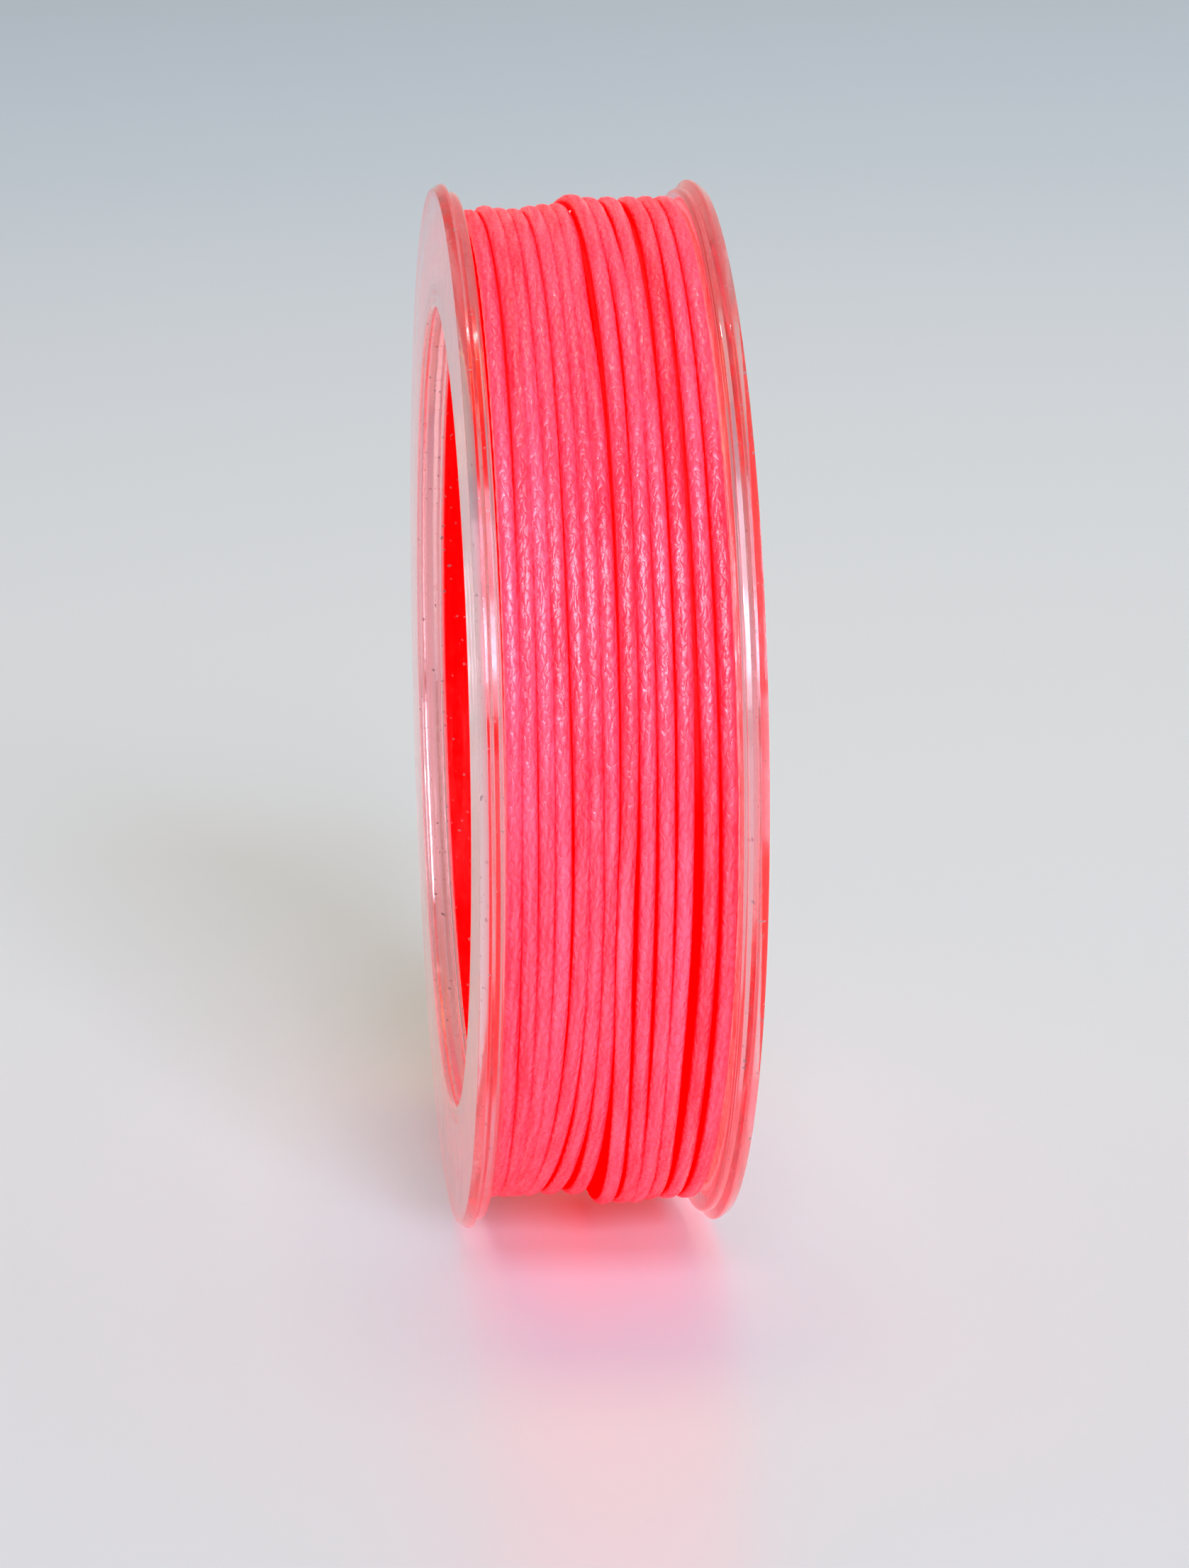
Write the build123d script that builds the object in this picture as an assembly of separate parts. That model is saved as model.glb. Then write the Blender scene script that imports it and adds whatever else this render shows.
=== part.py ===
from build123d import *
import os

# A narrow clear plastic spool that holds a fishing line.
# Frame: origin at the centre of the bore, +Y along the spool's axis, +Z up.
# The spool stands on its two flange rims. Every size is in millimetres.

# Driving dimensions
FLANGE_RADIUS = 30.0        # outermost edge of each flange
SPOOL_WIDTH = 15.2          # outer face to outer face
BORE_RADIUS = 23.0          # the large through hole
BARREL_WALL = 1.0           # thin clear wall that the line is wound on
RIM_THICKNESS = 1.35        # flange thickness at its rim
ROOT_THICKNESS = 1.4        # flange thickness where it meets the barrel
LIP_WIDTH = 0.62            # the full-radius lip is the outer part of the rim
LIP_BEVEL = (0.3, 0.45)     # bevel on the lip's outer edge: radially, along the axis
STEP_DEPTH = 0.45           # how far the rim steps down behind the lip
STEP_SLOPE = 0.22           # how far along the axis that step is spread
STEP_ROUND = 0.3            # rounding of the stepped part's inner edge
EDGE_ROUND = 0.05           # rounding of the lip's own corners
BORE_EDGE_ROUND = 0.25      # rounding of the bore's mouth
ROOT_FILLET = 0.3           # fillet between flange and barrel

# The two halves join in a lap in the middle of the barrel.
LAP_LENGTH = 3.0            # overlap of the two tongues along the axis
LAP_CLEARANCE = 0.04        # gap between the tongues, and at their ends
SNAP_BEAD_RADIUS = 0.12     # ring that clicks into a groove in the other tongue

# The wound line, as one closed drum of its outer shape
LINE_DIAMETER = 0.95        # its width, once it is wound
WINDING_RADIUS = 29.1       # over the outer turns
WINDING_CLEARANCE = 0.05    # gap between the drum and the spool all round

# Derived positions
FACE_Y = SPOOL_WIDTH / 2
LIP_INNER_Y = FACE_Y - LIP_WIDTH
STEP_Y = LIP_INNER_Y - STEP_SLOPE
RIM_INNER_Y = FACE_Y - RIM_THICKNESS
ROOT_INNER_Y = FACE_Y - ROOT_THICKNESS
STEP_RADIUS = FLANGE_RADIUS - STEP_DEPTH
BARREL_RADIUS = BORE_RADIUS + BARREL_WALL
LAP_RADIUS = BORE_RADIUS + BARREL_WALL / 2


def turned(corners):
    """A ring turned about the spool's axis from (radius, y, corner rounding) points."""
    section = make_face(Polyline(*[(radius, y) for radius, y, _ in corners], close=True))
    for radius, y, rounding in corners:
        if rounding:
            corner = section.vertices().sort_by_distance((radius, y, 0))[0]
            section = fillet(corner, rounding)
    return revolve(section, Axis.Y, 360)


def round_ring(radius, y, wire_radius):
    """A ring of round section about the spool's axis."""
    return revolve(Pos(radius, y, 0) * Circle(wire_radius), Axis.Y, 360)


def flange_corners(side):
    """The stepped, bevelled flange outline from the bore's mouth to the root fillet."""
    bevel_radial, bevel_axial = LIP_BEVEL
    return [
        (BORE_RADIUS, side * FACE_Y, BORE_EDGE_ROUND),
        (FLANGE_RADIUS - bevel_radial, side * FACE_Y, EDGE_ROUND),
        (FLANGE_RADIUS, side * (FACE_Y - bevel_axial), EDGE_ROUND),
        (FLANGE_RADIUS, side * LIP_INNER_Y, EDGE_ROUND),
        (STEP_RADIUS, side * STEP_Y, 0),
        (STEP_RADIUS, side * RIM_INNER_Y, STEP_ROUND),
        (BARREL_RADIUS, side * ROOT_INNER_Y, ROOT_FILLET),
    ]


def left_spool_half():
    """The -Y flange with its barrel, which ends in the lap's outer tongue."""
    tongue_end = LAP_LENGTH / 2
    shoulder = -LAP_LENGTH / 2
    tongue_inside = LAP_RADIUS + LAP_CLEARANCE / 2
    body = turned(
        flange_corners(-1)
        + [
            (BARREL_RADIUS, tongue_end, 0),
            (tongue_inside, tongue_end, 0),
            (tongue_inside, shoulder, 0),
            (BORE_RADIUS, shoulder, 0),
        ]
    )
    return body + round_ring(tongue_inside, 0, SNAP_BEAD_RADIUS)


def right_spool_half():
    """The +Y flange with its barrel, which ends in the lap's inner tongue."""
    tongue_end = -LAP_LENGTH / 2 + LAP_CLEARANCE
    shoulder = LAP_LENGTH / 2 + LAP_CLEARANCE
    tongue_outside = LAP_RADIUS - LAP_CLEARANCE / 2
    body = turned(
        flange_corners(1)
        + [
            (BARREL_RADIUS, shoulder, 0),
            (tongue_outside, shoulder, 0),
            (tongue_outside, tongue_end, 0),
            (BORE_RADIUS, tongue_end, 0),
        ]
    )
    groove_radius = SNAP_BEAD_RADIUS + LAP_CLEARANCE
    return body - round_ring(tongue_outside + LAP_CLEARANCE, 0, groove_radius)


def wound_line():
    """The line's turns, as one drum that fills the space between the flanges."""
    inner_radius = BARREL_RADIUS + WINDING_CLEARANCE
    inner_y = ROOT_INNER_Y - ROOT_FILLET - WINDING_CLEARANCE
    root_y = ROOT_INNER_Y - WINDING_CLEARANCE
    outer_y = RIM_INNER_Y - WINDING_CLEARANCE
    shoulder_round = LINE_DIAMETER / 2
    return turned(
        [
            (inner_radius, -inner_y, 0),
            (inner_radius + ROOT_FILLET, -root_y, 0),
            (WINDING_RADIUS, -outer_y, shoulder_round),
            (WINDING_RADIUS, outer_y, shoulder_round),
            (inner_radius + ROOT_FILLET, root_y, 0),
            (inner_radius, inner_y, 0),
        ]
    )


NODES = {
    "left_spool_half": left_spool_half,
    "right_spool_half": right_spool_half,
    "wound_line": wound_line,
}

os.makedirs("parts", exist_ok=True)
for name, make in NODES.items():
    export_step(make(), f"parts/{name}.step")
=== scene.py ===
"""A clear line spool, wound with coral braided line, standing on its rims on a pale table.

Everything is in metres, in the CAD model's frame: +Y runs along the spool's axis, +Z is up, and the origin
is at the bore's centre. An angle round the winding is 0 where it faces +X and 90 degrees at the top.
"""

import math

import bpy
import numpy as np
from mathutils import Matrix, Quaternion, Vector


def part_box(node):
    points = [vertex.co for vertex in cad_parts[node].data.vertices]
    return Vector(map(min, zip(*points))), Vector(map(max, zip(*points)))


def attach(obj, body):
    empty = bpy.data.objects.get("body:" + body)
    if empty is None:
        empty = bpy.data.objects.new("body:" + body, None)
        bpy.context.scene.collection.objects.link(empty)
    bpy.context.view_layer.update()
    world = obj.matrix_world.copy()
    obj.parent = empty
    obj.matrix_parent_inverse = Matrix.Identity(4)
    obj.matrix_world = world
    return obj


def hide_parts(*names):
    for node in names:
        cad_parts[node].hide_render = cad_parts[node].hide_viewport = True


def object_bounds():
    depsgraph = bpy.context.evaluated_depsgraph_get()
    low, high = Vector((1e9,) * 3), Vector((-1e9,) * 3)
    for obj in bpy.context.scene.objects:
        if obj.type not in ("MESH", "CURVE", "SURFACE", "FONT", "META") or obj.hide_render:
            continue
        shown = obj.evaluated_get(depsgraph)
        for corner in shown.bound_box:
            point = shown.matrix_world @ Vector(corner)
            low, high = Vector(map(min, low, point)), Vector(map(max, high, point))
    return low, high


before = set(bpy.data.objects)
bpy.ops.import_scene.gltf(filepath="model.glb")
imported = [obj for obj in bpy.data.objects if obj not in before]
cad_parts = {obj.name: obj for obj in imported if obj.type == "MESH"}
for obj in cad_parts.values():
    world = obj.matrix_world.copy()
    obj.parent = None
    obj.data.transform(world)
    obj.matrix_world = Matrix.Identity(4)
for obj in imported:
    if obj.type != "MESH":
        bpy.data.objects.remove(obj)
cad_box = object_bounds()

# Sizes read from the frame
FLANGE_RADIUS = cad_box[1].z
FACE_Y = cad_box[1].y
WINDING_HALF_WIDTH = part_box("wound_line")[1].y
FLOOR_Z = -FLANGE_RADIUS

# The spool's inside, where the frame has no box of its own for it
BARREL_RADIUS = 0.0240
ROOT_HALF_WIDTH = 0.0061      # half the gap between the flanges at the barrel

# The line
LINE_DIAMETER = 0.00095
LINE_SQUASH = 0.95            # the braid's thickness over its width, once it is wound
TURN_SPACING = 0.00090        # centre to centre of neighbouring turns in the layers below
CONTACT_WIDTH = 0.00080       # how near two turns of the soft line lie, where LAYER_GIVE leaves them room
LAYERS = 6
LAYER_RISE = 0.00069          # how much further out each layer lies than the one under it
LAYER_GIVE = 0.00016          # how far a turn may lie from its layer's own radius
FULLER_SIDE = 0.00066         # how much further out the +Y half of the outer layer lies
FULLER_FROM = -0.0012         # where along the axis it starts to rise
FULLER_TO = 0.0004            # and where it is full
TIGHTER_BELOW = 0.00025       # how far the outer layer is off centre: tighter below, and looser above
OUTER_RADIUS = BARREL_RADIUS + LINE_DIAMETER * LINE_SQUASH + (LAYERS - 1) * LAYER_RISE
POINTS_PER_TURN = 24
LINE_SEED = 11

# Every turn runs straight round for most of its way, then steps over to the next place.
# A turn starts low at the back, passes the top and the front, and steps over on the underside.
TURN_START_ANGLE = math.radians(210)
STEP_STARTS = 0.76            # share of the turn that runs straight round
STATION_JITTER = 0.00011      # how far a turn in the layers below may be off its place
WOBBLE = 0.000035             # how far each of a turn's waves takes it sideways
WOBBLES_PER_TURN = (2, 3, 5)

# Where the outer layer's turns lie, from -Y to +Y. The slot near the middle is the last turn's.
OUTER_TURNS = (-0.0057, -0.0048, -0.0040, -0.0031, -0.0021, -0.0013, -0.0005,
               0.0013, 0.0023, 0.0034, 0.0045, 0.0056)

# Places where the outer turns have drifted sideways:
# (place along the axis, degrees round, spread along the axis, spread in degrees, drift)
DRIFTS = [
    (-0.0023, -78, 0.0017, 32, -0.0015),
    (0.0014, -72, 0.0010, 26, 0.0006),
    (0.0033, -2, 0.0006, 20, -0.0001),
    (0.0046, -8, 0.0006, 20, 0.0002),
    (0.0036, 80, 0.0016, 26, 0.0003),
    (0.0036, -38, 0.0010, 16, -0.0003),
    (-0.0050, 70, 0.0020, 40, 0.0003),
    (0.0014, 52, 0.0007, 15, 0.0004),
    (-0.0006, 60, 0.0005, 11, -0.0004),
]

# The last turn crosses over the outer layer behind the top, then sinks into its slot in front:
# (share of the turn, place along the axis, layer)
LAST_TURN = [
    (0.0, -0.0048, LAYERS - 0.4),
    (0.18, -0.0022, LAYERS - 0.5),
    (0.26, -0.0004, LAYERS - 0.6),
    (0.31, 0.0004, LAYERS - 0.8),
    (0.35, 0.0005, LAYERS - 0.8),
    (0.39, 0.0006, LAYERS - 0.8),
    (0.45, 0.0006, LAYERS - 0.8),
    (0.58, 0.0004, LAYERS - 0.8),
    (0.61, 0.0000, LAYERS - 0.8),
    (0.68, 0.0003, LAYERS - 0.8),
    (0.76, 0.0007, LAYERS - 0.8),
    (0.90, 0.0009, LAYERS - 0.6),
    (1.05, 0.0006, LAYERS - 0.6),
]


# ---------------------------------------------------------------- the line's route


def smoothstep(x):
    """0 up to x = 0, 1 from x = 1, and a smooth rise between."""
    x = min(max(x, 0.0), 1.0)
    return x * x * (3 - 2 * x)


def half_width(layer):
    """Half the room between the flanges at a layer, where they are a little further apart further out."""
    out = layer / (LAYERS - 1)
    return ROOT_HALF_WIDTH + out * (WINDING_HALF_WIDTH - ROOT_HALF_WIDTH)


def stations(rng):
    """The axial place of every turn, layer after layer, and the layer of each."""
    places = []
    for layer in range(LAYERS):
        room = half_width(layer) - LINE_DIAMETER / 2
        nested = (LAYERS - 1 - layer) % 2  # every other layer lies in the grooves of the one below
        turns = int(2 * room / TURN_SPACING)
        spacing = 2 * room / turns
        row = (np.arange(turns + 1 - nested) + nested / 2) * spacing - room
        row = row + rng.uniform(-STATION_JITTER, STATION_JITTER, len(row))
        if layer == LAYERS - 1:
            row = np.array(OUTER_TURNS)
        row = np.clip(row, -room, room)
        if not nested:  # these layers, the outer one among them, are wound from +Y to -Y
            row = row[::-1]
        places += [(y, layer) for y in row]
    return places


def drifted(y, angle, layer):
    """y moved by the sideways drifts, which fade away in the layers below."""
    angle = (angle + math.pi) % (2 * math.pi) - math.pi
    moved = y
    for at_y, at_degrees, spread_y, spread_degrees, drift in DRIFTS:
        off_y = (y - at_y) / spread_y
        off_angle = (angle - math.radians(at_degrees)) / math.radians(spread_degrees)
        near = math.exp(-(off_y**2) - off_angle**2)
        moved += drift * near * (layer / (LAYERS - 1)) ** 2
    room = half_width(layer) - LINE_DIAMETER / 2
    return min(max(moved, -room), room)


def last_turn():
    """The last turn's points, as (angle, axial place, layer)."""
    shares, places, layers = zip(*LAST_TURN, strict=True)
    points = []
    for i in range(int(shares[-1] * POINTS_PER_TURN) + 1):
        share = i / POINTS_PER_TURN
        place = float(np.interp(share, shares, places))
        layer = float(np.interp(share, shares, layers))
        points.append((TURN_START_ANGLE - 2 * math.pi * share, place, layer))
    return points


def flat_route():
    """The line's points as (angle, axial place, layer), before it is known how high each one lies."""
    rng = np.random.default_rng(LINE_SEED)
    places = stations(rng)
    next_places = [y for y, _ in places[1:]] + [LAST_TURN[0][1]]
    route = []
    for (y, layer), next_y in zip(places, next_places, strict=True):
        phases = rng.uniform(0, 2 * math.pi, len(WOBBLES_PER_TURN))
        for i in range(POINTS_PER_TURN):
            share = i / POINTS_PER_TURN
            round_so_far = 2 * math.pi * share
            step = smoothstep((share - STEP_STARTS) / (1 - STEP_STARTS))
            fade = math.sin(math.pi * share) ** 2
            waves = zip(WOBBLES_PER_TURN, phases, strict=True)
            wobble = sum(math.sin(count * round_so_far + phase) for count, phase in waves)
            place = y + (next_y - y) * step + WOBBLE * wobble * fade
            angle = TURN_START_ANGLE - round_so_far
            route.append((angle, drifted(place, angle, layer), layer))
    return route + last_turn()


def stacked(route):
    """The route's radii: each point lies on the barrel or on the turns under it, near its own layer."""
    laid = [[] for _ in range(POINTS_PER_TURN)]
    lowest = BARREL_RADIUS + LINE_DIAMETER * LINE_SQUASH / 2
    radii = []
    for i, (angle, y, layer) in enumerate(route):
        column = laid[i % POINTS_PER_TURN]
        radius = lowest
        for other_y, other_radius in column:
            apart = abs(y - other_y)
            if apart < CONTACT_WIDTH:
                radius = max(radius, other_radius + math.sqrt(CONTACT_WIDTH**2 - apart**2))
        fuller = FULLER_SIDE * smoothstep((y - FULLER_FROM) / (FULLER_TO - FULLER_FROM))
        fuller += TIGHTER_BELOW * math.sin(angle)
        middle = lowest + layer * LAYER_RISE + fuller * layer / (LAYERS - 1)
        radius = max(lowest, middle + LAYER_GIVE * math.tanh((radius - middle) / LAYER_GIVE))
        column.append((y, radius))
        radii.append(radius)
    return radii


def eased(values):
    """Values averaged a little with their neighbours, as a line under tension spans small dips."""
    v = np.array(values)
    v[1:-1] = 0.25 * v[:-2] + 0.5 * v[1:-1] + 0.25 * v[2:]
    return v


def route_points(route):
    """The line's control points from its inner end on the barrel to its outer end."""
    # A quadratic spline runs inside its points on a circle by this much.
    outward = 1 / math.cos(math.pi / POINTS_PER_TURN)
    radii = eased(stacked(route)) * outward
    return [(r * math.cos(a), y, r * math.sin(a)) for (a, y, _), r in zip(route, radii, strict=True)]


def spline_points(points, steps):
    """Points read from the NURBS line that has these control points, steps to each one."""
    curve = bpy.data.curves.new("line_route", "CURVE")
    curve.dimensions = "3D"
    spline = curve.splines.new("NURBS")
    spline.points.add(len(points) - 1)
    for point, place in zip(spline.points, points, strict=True):
        point.co = (*place, 1)
    spline.order_u = 3
    spline.use_endpoint_u = True
    spline.resolution_u = steps
    bare = bpy.data.objects.new("line_route", curve)
    mesh = bpy.data.meshes.new_from_object(bare)
    read = np.zeros(len(mesh.vertices) * 3)
    mesh.vertices.foreach_get("co", read)
    bpy.data.objects.remove(bare)
    bpy.data.meshes.remove(mesh)
    bpy.data.curves.remove(curve)
    return read.reshape(-1, 3)


# ---------------------------------------------------------------- the braided line

SIDES = 10
FINE_STEPS = 20               # rings to each control point in the outer layer
COARSE_STEPS = 2              # and in the layers below it
SECTION_POWER = 2.3           # 2 is an ellipse, and more is squarer, as soft turns press on each other
BRAID_STRANDS = 5             # strands in each direction
BRAID_PITCH = 0.00125         # from one strand to the next of the same direction, along the line
BRAID_RELIEF = 0.03           # height of the picks, over the line's radius
TWIST_LENGTH = 0.060          # the line turns once about itself in this length
LINE_UVS = "line_uv"
UV_PER_METRE = 1000           # the line's UVs are in millimetres along it


def ring_places():
    """The tube's ring centres: close together in the outer layer, and further apart below it."""
    route = flat_route()
    covered = sum(1 for _, _, layer in route if layer < LAYERS - 1)
    points = spline_points(route_points(route), FINE_STEPS)
    hidden = points[: covered * FINE_STEPS : FINE_STEPS // COARSE_STEPS]
    return np.concatenate([hidden, points[covered * FINE_STEPS :]])


def tube_rings(centres, along):
    """The tube's points, as rings about its centres, which lie this far along the line."""
    tangent = np.gradient(centres, axis=0)
    tangent /= np.linalg.norm(tangent, axis=1)[:, None]
    outward = centres * (1, 0, 1)
    outward -= (outward * tangent).sum(1)[:, None] * tangent
    outward /= np.linalg.norm(outward, axis=1)[:, None]
    across = np.cross(tangent, outward)

    share = np.arange(SIDES) / SIDES
    turn = 2 * math.pi * (share[None, :] + along[:, None] / TWIST_LENGTH)
    squareness = abs(np.cos(turn)) ** SECTION_POWER + abs(np.sin(turn)) ** SECTION_POWER
    section = squareness ** (-1 / SECTION_POWER)
    picks = np.cos(math.pi * SIDES * share) * np.cos(2 * math.pi * along / BRAID_PITCH)[:, None]
    radius = LINE_DIAMETER / 2 * section * (1 + BRAID_RELIEF * picks)
    up = (LINE_SQUASH * radius * np.cos(turn))[..., None]
    beside = (radius * np.sin(turn))[..., None]
    return centres[:, None, :] + up * outward[:, None, :] + beside * across[:, None, :]


def braided_tube(name, centres):
    """A tube of braided line about its centres. Its UVs are the length in millimetres and the turn."""
    along = np.concatenate([[0], np.cumsum(np.linalg.norm(np.diff(centres, axis=0), axis=1))])
    rings = tube_rings(centres, along)

    first = np.arange(len(centres) - 1)[:, None] * SIDES
    corner = np.arange(SIDES)[None, :]
    following = (corner + 1) % SIDES
    corners = [first + corner, first + following, first + SIDES + following, first + SIDES + corner]
    quads = np.stack(corners, axis=-1)
    last = (len(centres) - 1) * SIDES
    caps = [list(range(SIDES))[::-1], list(range(last, last + SIDES))]
    mesh = bpy.data.meshes.new(name)
    mesh.from_pydata(rings.reshape(-1, 3), [], quads.reshape(-1, 4).tolist() + caps)

    near = along[:-1, None] + 0 * corner
    far = along[1:, None] + 0 * corner
    lengths = np.stack([near, near, far, far], axis=-1) * UV_PER_METRE
    turns = np.stack([corner, corner + 1, corner + 1, corner], axis=-1) / SIDES + 0 * near[..., None]
    uv = np.stack([lengths, turns], axis=-1).reshape(-1, 2)
    cap_uv = np.zeros((2 * SIDES, 2))
    layer = mesh.uv_layers.new(name=LINE_UVS)
    layer.data.foreach_set("uv", np.concatenate([uv, cap_uv]).ravel())
    mesh.polygons.foreach_set("use_smooth", [True] * len(mesh.polygons))
    mesh.update()
    piece = bpy.data.objects.new(name, mesh)
    bpy.context.scene.collection.objects.link(piece)
    return piece, float(along[-1])


# ---------------------------------------------------------------- shader nodes


def new_material(name):
    """A material with only a Principled shader: the material, its node tree, the shader and the output."""
    material = bpy.data.materials.new(name)
    material.use_nodes = True
    tree = material.node_tree
    tree.nodes.clear()
    output = tree.nodes.new("ShaderNodeOutputMaterial")
    shader = tree.nodes.new("ShaderNodeBsdfPrincipled")
    tree.links.new(shader.outputs["BSDF"], output.inputs["Surface"])
    return material, tree, shader, output


def math_node(tree, operation, *values):
    """A Math node whose inputs are numbers or other nodes' outputs."""
    node = tree.nodes.new("ShaderNodeMath")
    node.operation = operation
    for socket, value in zip(node.inputs, values, strict=False):
        if isinstance(value, (int, float)):
            socket.default_value = value
        else:
            tree.links.new(value, socket)
    return node.outputs[0]


def object_place(tree):
    """A point's place in the spool's own frame."""
    return tree.nodes.new("ShaderNodeTexCoord").outputs["Object"]


def line_place(tree, length):
    """A point's place along the line, counted in this length, and its share of the turn about the line."""
    uv = tree.nodes.new("ShaderNodeUVMap")
    uv.uv_map = LINE_UVS
    split = separate(tree, uv.outputs["UV"])
    along = math_node(tree, "MULTIPLY", split.outputs["X"], 1 / (UV_PER_METRE * length))
    return along, split.outputs["Y"]


def separate(tree, vector):
    """A node that splits a vector into X, Y and Z."""
    node = tree.nodes.new("ShaderNodeSeparateXYZ")
    tree.links.new(vector, node.inputs[0])
    return node


def noise(tree, vector, scale, detail=2.0, roughness=0.5):
    """A noise pattern with this many cells to one unit of the vector."""
    node = tree.nodes.new("ShaderNodeTexNoise")
    node.inputs["Scale"].default_value = scale
    node.inputs["Detail"].default_value = detail
    node.inputs["Roughness"].default_value = roughness
    tree.links.new(vector, node.inputs["Vector"])
    return node.outputs["Fac"]


def bump(tree, height, depth, strength, normal=None):
    """A normal bumped by a height pattern that is this many metres deep."""
    node = tree.nodes.new("ShaderNodeBump")
    node.inputs["Strength"].default_value = strength
    node.inputs["Distance"].default_value = depth
    tree.links.new(height, node.inputs["Height"])
    if normal is not None:
        tree.links.new(normal, node.inputs["Normal"])
    return node.outputs["Normal"]


def map_range(tree, value, lowest, highest, to_lowest=0.0, to_highest=1.0):
    """A value's range from lowest to highest, stretched to another range and held to it."""
    node = tree.nodes.new("ShaderNodeMapRange")
    for socket, number in zip(node.inputs[1:5], (lowest, highest, to_lowest, to_highest), strict=True):
        socket.default_value = number
    tree.links.new(value, node.inputs[0])
    return node.outputs[0]


def mix_colour(tree, share, first, second):
    """A colour between two: each is a colour or another node's output."""
    node = tree.nodes.new("ShaderNodeMix")
    node.data_type = "RGBA"
    tree.links.new(share, node.inputs[0])
    for socket, colour in zip(node.inputs[6:8], (first, second), strict=True):
        if isinstance(colour, tuple):
            socket.default_value = (*colour, 1)
        else:
            tree.links.new(colour, socket)
    return node.outputs[2]


def radius_on_spool(tree, split):
    """A point's distance from the spool's axis, from its separate X, Y and Z."""
    squares = [math_node(tree, "MULTIPLY", split.outputs[axis], split.outputs[axis]) for axis in "XZ"]
    return math_node(tree, "SQRT", math_node(tree, "ADD", *squares))


# ---------------------------------------------------------------- the line's material

CORAL_DARK = (1.0, 0.018, 0.050)
CORAL = (1.0, 0.098, 0.190)
CORAL_PROUD_LIT = (1.0, 0.19, 0.31)         # painted light, where a turn stands out from the others
CORAL_SIDE_LIT = (1.0, 0.50, 0.56)          # painted light on the sides of the turns that lie by the flanges
SHADE_RED = (1.0, 0.0, 0.001)            # painted shade, in the grooves and all over the winding's inside
SHADE_RED_ABOVE = (1.0, 0.040, 0.055)    # lighter painted shade in the grooves of the upper half, where light from above gets in
GLOW_COLOUR = (1.0, 0.0, 0.0, 1)        # painted red glow: on the line it stands for its fluorescence and the red light in its shade
LINE_GLOW = 0.4

# Noise patterns: a scale is in cells to a metre, and a middle is where most of the values lie.
NOISE_MIDDLE = (0.35, 0.65)
STRETCH_MIDDLE = (0.38, 0.62)
SHADE_MIDDLE = (0.15, 0.85)
BRAID_SHARE = 0.20                      # how much of the line's tone comes from each pattern; the braid's is painted shade
STREAK_SHARE = 0.30
FLUFF_SHARE = 0.10
STRETCH_SHARE = 0.40

UNEVEN_SCALE = 1100                     # where the braid's strands wander
UNEVENNESS = 2.2                        # how far they wander, in strands
STREAK_LENGTH = 0.0035                  # about as long as a streak runs along the line
STREAKS_ROUND = 6                       # how many streaks lie side by side round the line
STRETCH_LENGTH = 0.038                  # over about this length the line's shade changes
FLUFF_SCALE = 2200
FINE_DETAIL = (3, 0.6)                  # detail and roughness, for streaks and loose fibres

# Where a change in the line's look starts, and where it is complete
PROUD_DEPTHS = (-0.00016, -0.00028)     # the paler painted light, on turns that stand this far out
LIT_DEPTHS = (0.00055, 0.00020)         # painted light on the line, by its depth; deeper, painted shade
LIT_FACINGS = (0.25, 0.65)              # and by how far its side faces out
UPPER_HEIGHTS = (-0.001, 0.006)         # the upper half's painted light
SHADE_RED_DEPTHS = (0.0016, 0.0008)      # the upper half's lighter painted shade, by depth: there is none below the first
PALE_MARGINS = (0.0004, 0.0001)         # that painted light on the sides, by the distance from the winding's own side
PALE_FACINGS = (0.6, 0.2)               # and by how far the line's side faces out

PROUD_SHARE = 0.7                       # how much of that painted light shows where it is complete
UPPER_REACH = 0.00015                   # how much further into the grooves the upper half's painted light reaches
UPPER_OPENING = 0.2                     # and how much further round the turns
LINE_ROUGHNESS = (0.22, 0.48)
LEAST_COAT = 0.45                       # on the dull streaks
# Each bump's depth in metres, and its strength
BRAID_BUMP = (0.00006, 0.8)
STREAK_BUMP = (0.00003, 0.8)
FLUFF_BUMP = (0.00002, 0.7)
COAT_BRAID_BUMP = (0.00004, 1.0)
COAT_FLUFF_BUMP = (0.00002, 1.0)


def braid_height(tree):
    """The picks of a braid, from 0 in the grooves to 1 on the crowns, from the line's UVs."""
    along, share = line_place(tree, BRAID_PITCH)
    shift = math_node(tree, "MULTIPLY", noise(tree, object_place(tree), UNEVEN_SCALE), UNEVENNESS)
    round_it = math_node(tree, "ADD", math_node(tree, "MULTIPLY", share, BRAID_STRANDS), shift)
    one_way = math_node(tree, "ADD", round_it, along)
    other_way = math_node(tree, "SUBTRACT", round_it, along)
    strands = []
    for phase in (one_way, other_way):
        wave = math_node(tree, "SINE", math_node(tree, "MULTIPLY", phase, math.pi))
        strands.append(math_node(tree, "ABSOLUTE", wave))
    # Where the two directions cross, they take turns to lie on top.
    turn = math_node(tree, "ADD", math_node(tree, "FLOOR", one_way), math_node(tree, "FLOOR", other_way))
    on_top = math_node(tree, "ABSOLUTE", math_node(tree, "MODULO", turn, 2.0))
    mix = tree.nodes.new("ShaderNodeMix")
    tree.links.new(on_top, mix.inputs[0])
    for socket, (upper, lower) in zip(mix.inputs[2:4], (strands, strands[::-1]), strict=True):
        bulge = math_node(tree, "MULTIPLY", upper, math_node(tree, "POWER", lower, 0.5))
        tree.links.new(bulge, socket)
    return mix.outputs[0]


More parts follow.
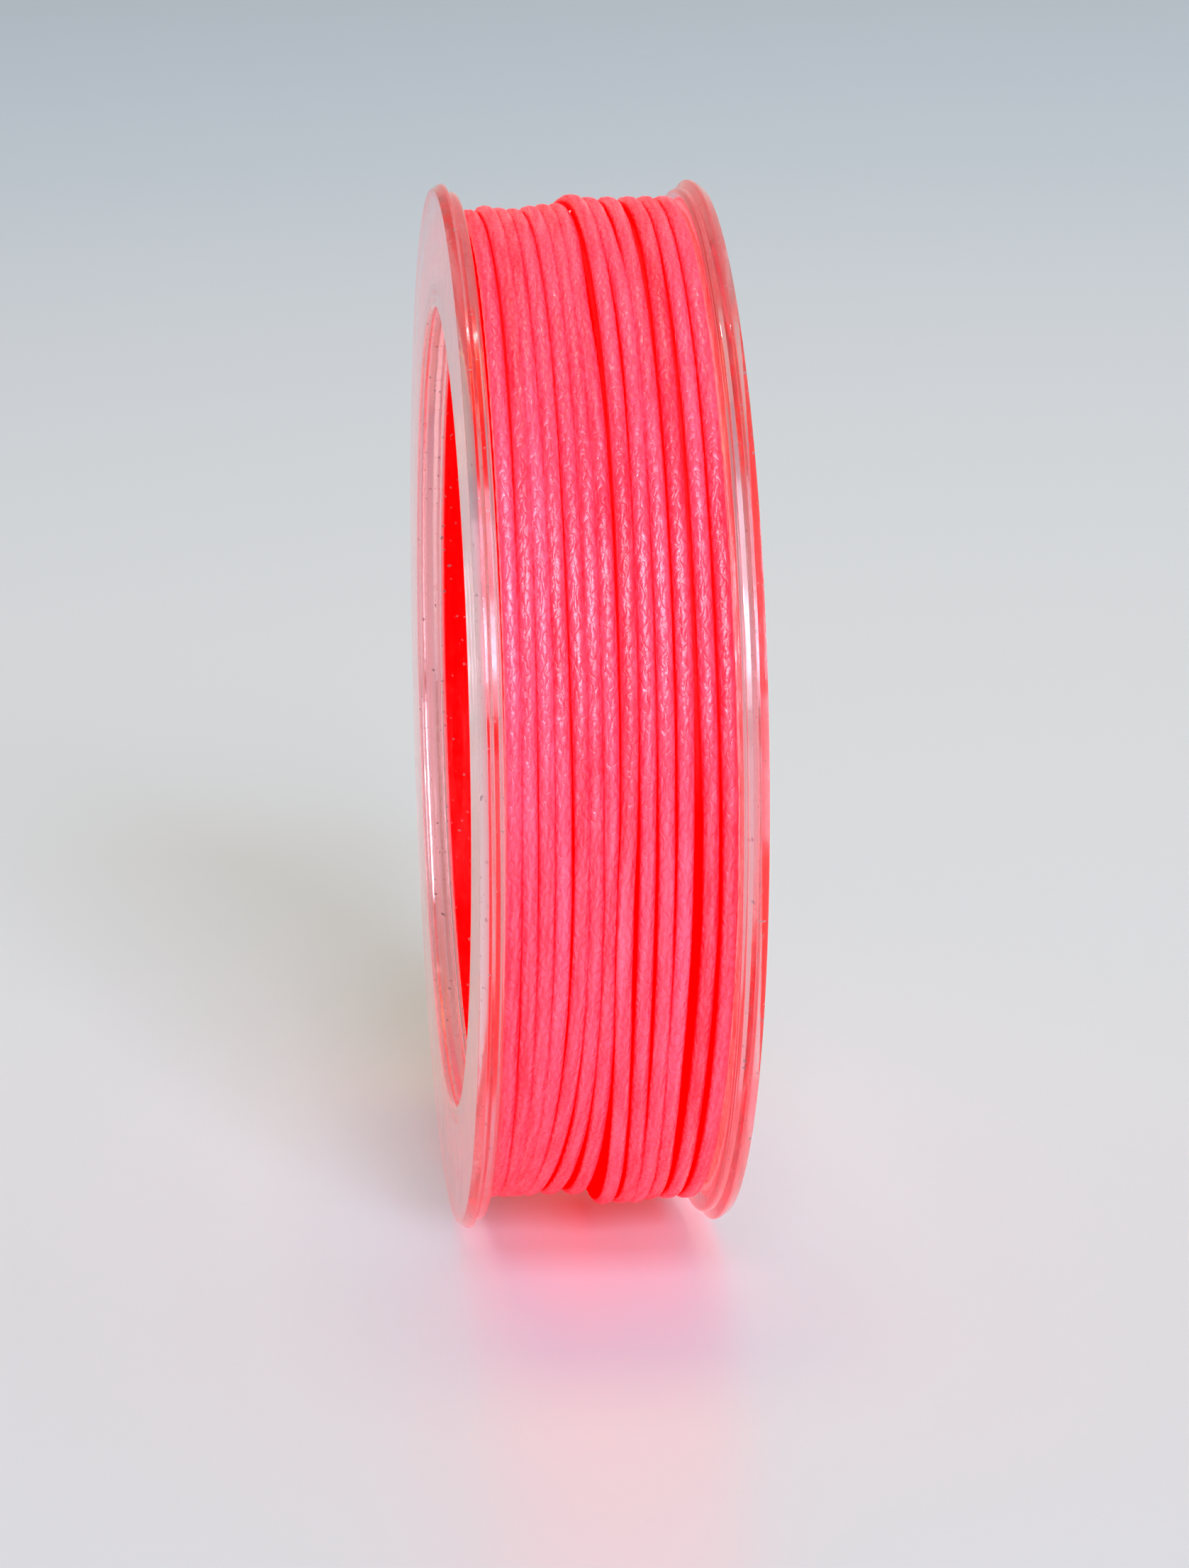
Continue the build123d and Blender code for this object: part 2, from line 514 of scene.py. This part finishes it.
def fibre_streaks(tree):
    """Long thin streaks that run along the line, from its UVs."""
    along, share = line_place(tree, STREAK_LENGTH)
    turn = math_node(tree, "MULTIPLY", share, 2 * math.pi)
    joined = tree.nodes.new("ShaderNodeCombineXYZ")
    tree.links.new(along, joined.inputs[0])
    for socket, wave in zip(joined.inputs[1:], ("SINE", "COSINE"), strict=True):
        across = math_node(tree, "MULTIPLY", math_node(tree, wave, turn), STREAKS_ROUND / math.pi)
        tree.links.new(across, socket)
    return map_range(tree, noise(tree, joined.outputs[0], 1.0, *FINE_DETAIL), *NOISE_MIDDLE)


def stretch_shade(tree):
    """Slow changes along the line, so that one turn is paler than the next, from its UVs."""
    along, _ = line_place(tree, STRETCH_LENGTH)
    joined = tree.nodes.new("ShaderNodeCombineXYZ")
    tree.links.new(along, joined.inputs[0])
    return map_range(tree, noise(tree, joined.outputs[0], 1.0, detail=1), *STRETCH_MIDDLE)


def depth_in_winding(tree, split):
    """How far a point lies under the winding's outer surface, in metres."""
    full_radius = OUTER_RADIUS + FULLER_SIDE
    surface = map_range(tree, split.outputs["Y"], FULLER_FROM, FULLER_TO, OUTER_RADIUS, full_radius)
    lean = math_node(tree, "MULTIPLY", split.outputs["Z"], TIGHTER_BELOW / OUTER_RADIUS)
    return math_node(tree, "SUBTRACT", math_node(tree, "ADD", surface, lean), radius_on_spool(tree, split))


def facing_out(tree, split):
    """1 where the line's side faces straight away from the axle, and 0 where it faces along the axis."""
    normal = separate(tree, tree.nodes.new("ShaderNodeNewGeometry").outputs["Normal"])
    products = [math_node(tree, "MULTIPLY", split.outputs[axis], normal.outputs[axis]) for axis in "XZ"]
    return math_node(tree, "DIVIDE", math_node(tree, "ADD", *products), radius_on_spool(tree, split))


def line_colour(tree, depth, height, streaks, fluff):
    """The coral of a lit turn, from its braid, streaks and fluff, with painted light on turns that stand
    out.
    """
    # The braid's pattern darkens the line between its picks, a painted shade; the other patterns vary its
    # tone at random.
    shade = math_node(tree, "MULTIPLY", height, BRAID_SHARE)
    patterns = ((streaks, STREAK_SHARE), (fluff, FLUFF_SHARE), (stretch_shade(tree), STRETCH_SHARE))
    for pattern, share in patterns:
        shade = math_node(tree, "ADD", shade, math_node(tree, "MULTIPLY", pattern, share))
    coral = mix_colour(tree, map_range(tree, shade, *SHADE_MIDDLE), CORAL_DARK, CORAL)
    # Painted light: turns that stand out are paler.
    proud = map_range(tree, depth, *PROUD_DEPTHS, 0.0, PROUD_SHARE)
    return mix_colour(tree, proud, coral, CORAL_PROUD_LIT)


def coral_line_material():
    """Fluorescent braided line with a painted red glow: coral where light is painted on it, and deep red
    painted shade in the grooves between its turns.
    """
    material, tree, shader, _ = new_material("coral_line")
    place = object_place(tree)
    split = separate(tree, place)
    depth = depth_in_winding(tree, split)
    facing = facing_out(tree, split)
    height = braid_height(tree)
    streaks = fibre_streaks(tree)
    fluff = map_range(tree, noise(tree, place, FLUFF_SCALE, *FINE_DETAIL), *NOISE_MIDDLE)

    # Painted light: in the upper half, light from above is painted further into the grooves.
    upper = map_range(tree, split.outputs["Z"], *UPPER_HEIGHTS)
    reach = math_node(tree, "SUBTRACT", depth, math_node(tree, "MULTIPLY", upper, UPPER_REACH))
    opening = math_node(tree, "ADD", facing, math_node(tree, "MULTIPLY", upper, UPPER_OPENING))
    shallow = map_range(tree, reach, *LIT_DEPTHS)
    lit = math_node(tree, "MULTIPLY", shallow, map_range(tree, opening, *LIT_FACINGS))
    not_inside = math_node(tree, "MULTIPLY", upper, map_range(tree, depth, *SHADE_RED_DEPTHS))
    # Painted shade: deep red where the line is unlit, a little lighter in the upper half's grooves.
    deep = mix_colour(tree, not_inside, SHADE_RED, SHADE_RED_ABOVE)
    colour = mix_colour(tree, lit, deep, line_colour(tree, depth, height, streaks, fluff))

    # Painted light on the turns' sides by the flanges, which the lamps hardly reach.
    off_centre = math_node(tree, "ABSOLUTE", split.outputs["Y"])
    margins = [WINDING_HALF_WIDTH - margin for margin in PALE_MARGINS]
    by_flange = map_range(tree, off_centre, *margins)
    by_flange = math_node(tree, "MULTIPLY", by_flange, map_range(tree, facing, *PALE_FACINGS))
    tree.links.new(mix_colour(tree, by_flange, colour, CORAL_SIDE_LIT), shader.inputs["Base Color"])

    tree.links.new(map_range(tree, fluff, 0.0, 1.0, *LINE_ROUGHNESS), shader.inputs["Roughness"])
    shader.inputs["Specular IOR Level"].default_value = 0.0
    # Painted glow, for the fluorescence and the red light in the line's shade.
    shader.inputs["Emission Color"].default_value = GLOW_COLOUR
    shader.inputs["Emission Strength"].default_value = LINE_GLOW
    normal = bump(tree, height, *BRAID_BUMP)
    normal = bump(tree, streaks, *STREAK_BUMP, normal)
    normal = bump(tree, fluff, *FLUFF_BUMP, normal)
    tree.links.new(normal, shader.inputs["Normal"])

    # The gloss is a coat, which the unlit grooves go without.
    coat = math_node(tree, "MULTIPLY", lit, map_range(tree, streaks, 0.0, 1.0, LEAST_COAT, 1.0))
    tree.links.new(coat, shader.inputs["Coat Weight"])
    shader.inputs["Coat Roughness"].default_value = 0.28
    shader.inputs["Coat IOR"].default_value = 1.8
    coat_normal = bump(tree, fluff, *COAT_FLUFF_BUMP, bump(tree, height, *COAT_BRAID_BUMP))
    tree.links.new(coat_normal, shader.inputs["Coat Normal"])
    return material


# ---------------------------------------------------------------- the spool's material

# pink: painted light, for the line's red light inside the clear plastic
CLEAR_PAINTED_PINK = (1.0, 0.73, 0.74)
RIM_PAINTED_RED = (1.0, 0.33, 0.38)
DUST_COLOUR = (0.35, 0.22, 0.22)
LAMP_TINT = (0.93, 0.91, 0.91, 1)       # what the plastic leaves of a lamp's light
RIM_GLOW = 0.07                         # painted light: the line's red seen through the rims
FLANGE_GLOW = 0.025                     # and the weaker painted glow over the rest of the flanges
ROOT_WIDTH = 0.001                      # past the barrel, where the flanges' painted glow starts
RIM_RADII = (0.945 * FLANGE_RADIUS, 0.97 * FLANGE_RADIUS)   # where the rims' painted red and painted glow rise
INNER_SIDE = (FACE_Y - 0.0001, FACE_Y - 0.0004)             # and they stay off the outer faces
HAZE_SCALE = 900
HAZE_DETAIL = (4, 0.6)
HAZE_MIDDLE = (0.3, 0.7)
HAZE_ROUGHNESS = (0.03, 0.10)
RIM_ROUGHNESS = 0.04                    # how much rougher the rims are
DUST_SCALE = 2600
DUST_PEAKS = (0.72, 0.76)               # only the noise pattern's peaks are dust
DUST_TRANSMISSION = 0.3
WAVE_SCALE = 260
WAVE_BUMP = (0.00003, 1.0)              # the moulded surface's slow waves: their depth and strength
SCRATCH_SCALE = 3500
SCRATCH_BUMP = (0.000003, 0.5)


def plastic_finish(tree, shader, place):
    """The plastic's roughness away from its rims, and its waves and scratches. Returns the roughness."""
    normal = bump(tree, noise(tree, place, WAVE_SCALE), *WAVE_BUMP)
    normal = bump(tree, noise(tree, place, SCRATCH_SCALE, detail=3), *SCRATCH_BUMP, normal)
    tree.links.new(normal, shader.inputs["Normal"])
    haze = noise(tree, place, HAZE_SCALE, *HAZE_DETAIL)
    return map_range(tree, haze, *HAZE_MIDDLE, *HAZE_ROUGHNESS)


def let_lamps_through(tree, shader, output):
    """Lamps light what is behind the plastic, which a refracting shader alone would keep dark."""
    through = tree.nodes.new("ShaderNodeBsdfTransparent")
    through.inputs["Color"].default_value = LAMP_TINT
    mix = tree.nodes.new("ShaderNodeMixShader")
    tree.links.new(tree.nodes.new("ShaderNodeLightPath").outputs["Is Shadow Ray"], mix.inputs[0])
    tree.links.new(shader.outputs["BSDF"], mix.inputs[1])
    tree.links.new(through.outputs["BSDF"], mix.inputs[2])
    tree.links.new(mix.outputs["Shader"], output.inputs["Surface"])


def clear_plastic_material():
    """Clear moulded plastic, a little dusty, painted pink all over and red at its rims, with a painted glow
    for the line's light.
    """
    material, tree, shader, output = new_material("clear_plastic")
    place = object_place(tree)
    split = separate(tree, place)
    radius = radius_on_spool(tree, split)
    inner_side = map_range(tree, math_node(tree, "ABSOLUTE", split.outputs["Y"]), *INNER_SIDE)
    at_rim = math_node(tree, "MULTIPLY", map_range(tree, radius, *RIM_RADII), inner_side)

    rougher = math_node(tree, "MULTIPLY", at_rim, RIM_ROUGHNESS)
    roughness = math_node(tree, "ADD", plastic_finish(tree, shader, place), rougher)
    tree.links.new(roughness, shader.inputs["Roughness"])
    shader.inputs["IOR"].default_value = 1.55

    dust = map_range(tree, noise(tree, place, DUST_SCALE, detail=1), *DUST_PEAKS)
    # Painted light: the plastic is painted pink, and its rims red, for the line's light seen through them.
    painted_rims = mix_colour(tree, at_rim, CLEAR_PAINTED_PINK, RIM_PAINTED_RED)
    tree.links.new(mix_colour(tree, dust, painted_rims, DUST_COLOUR), shader.inputs["Base Color"])
    transmission = map_range(tree, dust, 0.0, 1.0, 1.0, DUST_TRANSMISSION)
    tree.links.new(transmission, shader.inputs["Transmission Weight"])

    # Painted glow: the plastic gives off the line's red light, more at its rims.
    on_flange = map_range(tree, radius, BARREL_RADIUS, BARREL_RADIUS + ROOT_WIDTH, 0.0, FLANGE_GLOW)
    rim_glow = math_node(tree, "MULTIPLY", at_rim, RIM_GLOW - FLANGE_GLOW)
    shader.inputs["Emission Color"].default_value = GLOW_COLOUR
    tree.links.new(math_node(tree, "ADD", on_flange, rim_glow), shader.inputs["Emission Strength"])
    let_lamps_through(tree, shader, output)
    return material


# ---------------------------------------------------------------- camera, light and floor

CAMERA_DISTANCE = 9.58 * FLANGE_RADIUS
CAMERA_AZIMUTH = math.radians(84.89)
CAMERA_ELEVATION = math.radians(10)
CAMERA_PAN = math.radians(-0.24)      # the spool sits a little left of the view's middle
CAMERA_TILT = math.radians(-0.93)     # and a little above it
CAMERA_ROLL = math.radians(-0.59)
CAMERA_LENS = 114
CAMERA_CLIP_START = 0.01

FLOOR_HALF_SIZE = 6.0
TABLE_COLOUR = (0.705, 0.785, 0.845, 1)
LIGHT_BOUNCES = 24                    # clear plastic traps light inside its walls

# The room's light by direction: where a change starts and ends, and its strength before and after
ROOM_COLOUR = (0.96, 1.0, 0.955, 1)
ROOM_CHANGES = {
    "X": (-0.3, 0.7, 1.0, 0.4),       # darker behind the camera
    "Y": (-0.15, 0.15, 0.50, 0.68),   # darker on the spool's left
    "Z": (0.05, 0.5, 1.0, 0.68),      # darker overhead
}

WINDOW_COLOUR = (0.90, 0.95, 1.17)
# A lamp without glints isn't seen in reflections, and one without light gives matt surfaces none.
LAMPS = {
    "low_window": {"azimuth": 99, "elevation": 23, "distance": 8.0, "size": 2.2, "power": 470.0,
                   "colour": WINDOW_COLOUR, "glints": False},
    "high_window": {"azimuth": 88, "elevation": 50, "distance": 8.0, "size": 2.4, "power": 190.0,
                    "colour": WINDOW_COLOUR, "glints": False},
    "front_bulb": {"azimuth": 82, "elevation": 30, "distance": 3.0, "size": 0.28, "power": 18.0,
                   "colour": (0.93, 0.93, 1.08), "light": False},
    "sheen": {"azimuth": 88, "elevation": 33, "distance": 3.0, "size": 2.8, "power": 105.0,
              "colour": (0.92, 0.95, 1.15), "light": False},
    "overhead": {"azimuth": 85, "elevation": 99, "distance": 0.8, "size": 0.30, "power": 2.0,
                 "colour": (1.0, 0.55, 0.10), "glints": False},
    "top_bulb": {"azimuth": 82, "elevation": 96, "distance": 0.8, "size": 0.04, "power": 0.70,
                 "colour": (1.0, 0.95, 0.92), "light": False},
}


def outward_from(azimuth, elevation):
    """The direction from the spool towards a camera or lamp. Azimuth 0 is at -Y, and 90 degrees at +X."""
    level = math.cos(elevation)
    return Vector((math.sin(azimuth) * level, -math.cos(azimuth) * level, math.sin(elevation)))


def make_camera():
    data = bpy.data.cameras.new("camera")
    data.lens = CAMERA_LENS
    data.clip_start = CAMERA_CLIP_START
    camera = bpy.data.objects.new("camera", data)
    bpy.context.scene.collection.objects.link(camera)
    camera.location = outward_from(CAMERA_AZIMUTH, CAMERA_ELEVATION) * CAMERA_DISTANCE
    ahead = -outward_from(CAMERA_AZIMUTH + CAMERA_PAN, CAMERA_ELEVATION - CAMERA_TILT)
    camera.rotation_mode = "QUATERNION"
    camera.rotation_quaternion = Quaternion(ahead, -CAMERA_ROLL) @ ahead.to_track_quat("-Z", "Y")
    bpy.context.scene.camera = camera


def make_lamp(name, azimuth, elevation, distance, size, power, colour, glints=True, light=True):
    """A square lamp that faces the spool."""
    data = bpy.data.lights.new(name, "AREA")
    data.size = size
    data.energy = power
    data.color = colour
    lamp = bpy.data.objects.new(name, data)
    bpy.context.scene.collection.objects.link(lamp)
    direction = outward_from(math.radians(azimuth), math.radians(elevation))
    lamp.location = direction * distance
    lamp.rotation_mode = "QUATERNION"
    lamp.rotation_quaternion = direction.to_track_quat("Z", "Y")
    lamp.visible_glossy = glints
    lamp.visible_diffuse = light


def table_material():
    """A smooth pale table top, half glossy."""
    material, _, shader, _ = new_material("pale_table")
    shader.inputs["Base Color"].default_value = TABLE_COLOUR
    shader.inputs["Roughness"].default_value = 0.35
    shader.inputs["IOR"].default_value = 1.5
    return material


def make_floor():
    mesh = bpy.data.meshes.new("table_top")
    ways = ((-1, -1), (1, -1), (1, 1), (-1, 1))
    corners = [(x * FLOOR_HALF_SIZE, y * FLOOR_HALF_SIZE, FLOOR_Z) for x, y in ways]
    mesh.from_pydata(corners, [], [(0, 1, 2, 3)])
    floor = bpy.data.objects.new("table_top", mesh)
    bpy.context.scene.collection.objects.link(floor)
    floor.data.materials.append(table_material())


def make_world():
    """A plain room whose light is a little stronger from some sides than from others."""
    world = bpy.data.worlds.new("studio")
    world.use_nodes = True
    tree = world.node_tree
    background = tree.nodes["Background"]
    background.inputs["Color"].default_value = ROOM_COLOUR
    split = separate(tree, tree.nodes.new("ShaderNodeTexCoord").outputs["Generated"])
    strengths = [map_range(tree, split.outputs[axis], *change) for axis, change in ROOM_CHANGES.items()]
    strength = math_node(tree, "MULTIPLY", math_node(tree, "MULTIPLY", *strengths[:2]), strengths[2])
    tree.links.new(strength, background.inputs["Strength"])
    bpy.context.scene.world = world


def make_light_paths():
    cycles = bpy.context.scene.cycles
    cycles.max_bounces = LIGHT_BOUNCES
    cycles.glossy_bounces = LIGHT_BOUNCES
    cycles.transmission_bounces = LIGHT_BOUNCES
    cycles.transparent_max_bounces = LIGHT_BOUNCES


make_camera()
make_world()
make_floor()
make_light_paths()
for lamp_name, lamp_settings in LAMPS.items():
    make_lamp(lamp_name, **lamp_settings)
bpy.context.scene.view_settings.view_transform = "Standard"

# ---------------------------------------------------------------- the object

centres = ring_places()
line, line_length = braided_tube("wound_braid", centres)
line.data.materials.append(coral_line_material())
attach(line, "root")
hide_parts("wound_line")

plastic = clear_plastic_material()
for half_name in ("left_spool_half", "right_spool_half"):
    for material_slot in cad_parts[half_name].material_slots:
        material_slot.material = plastic
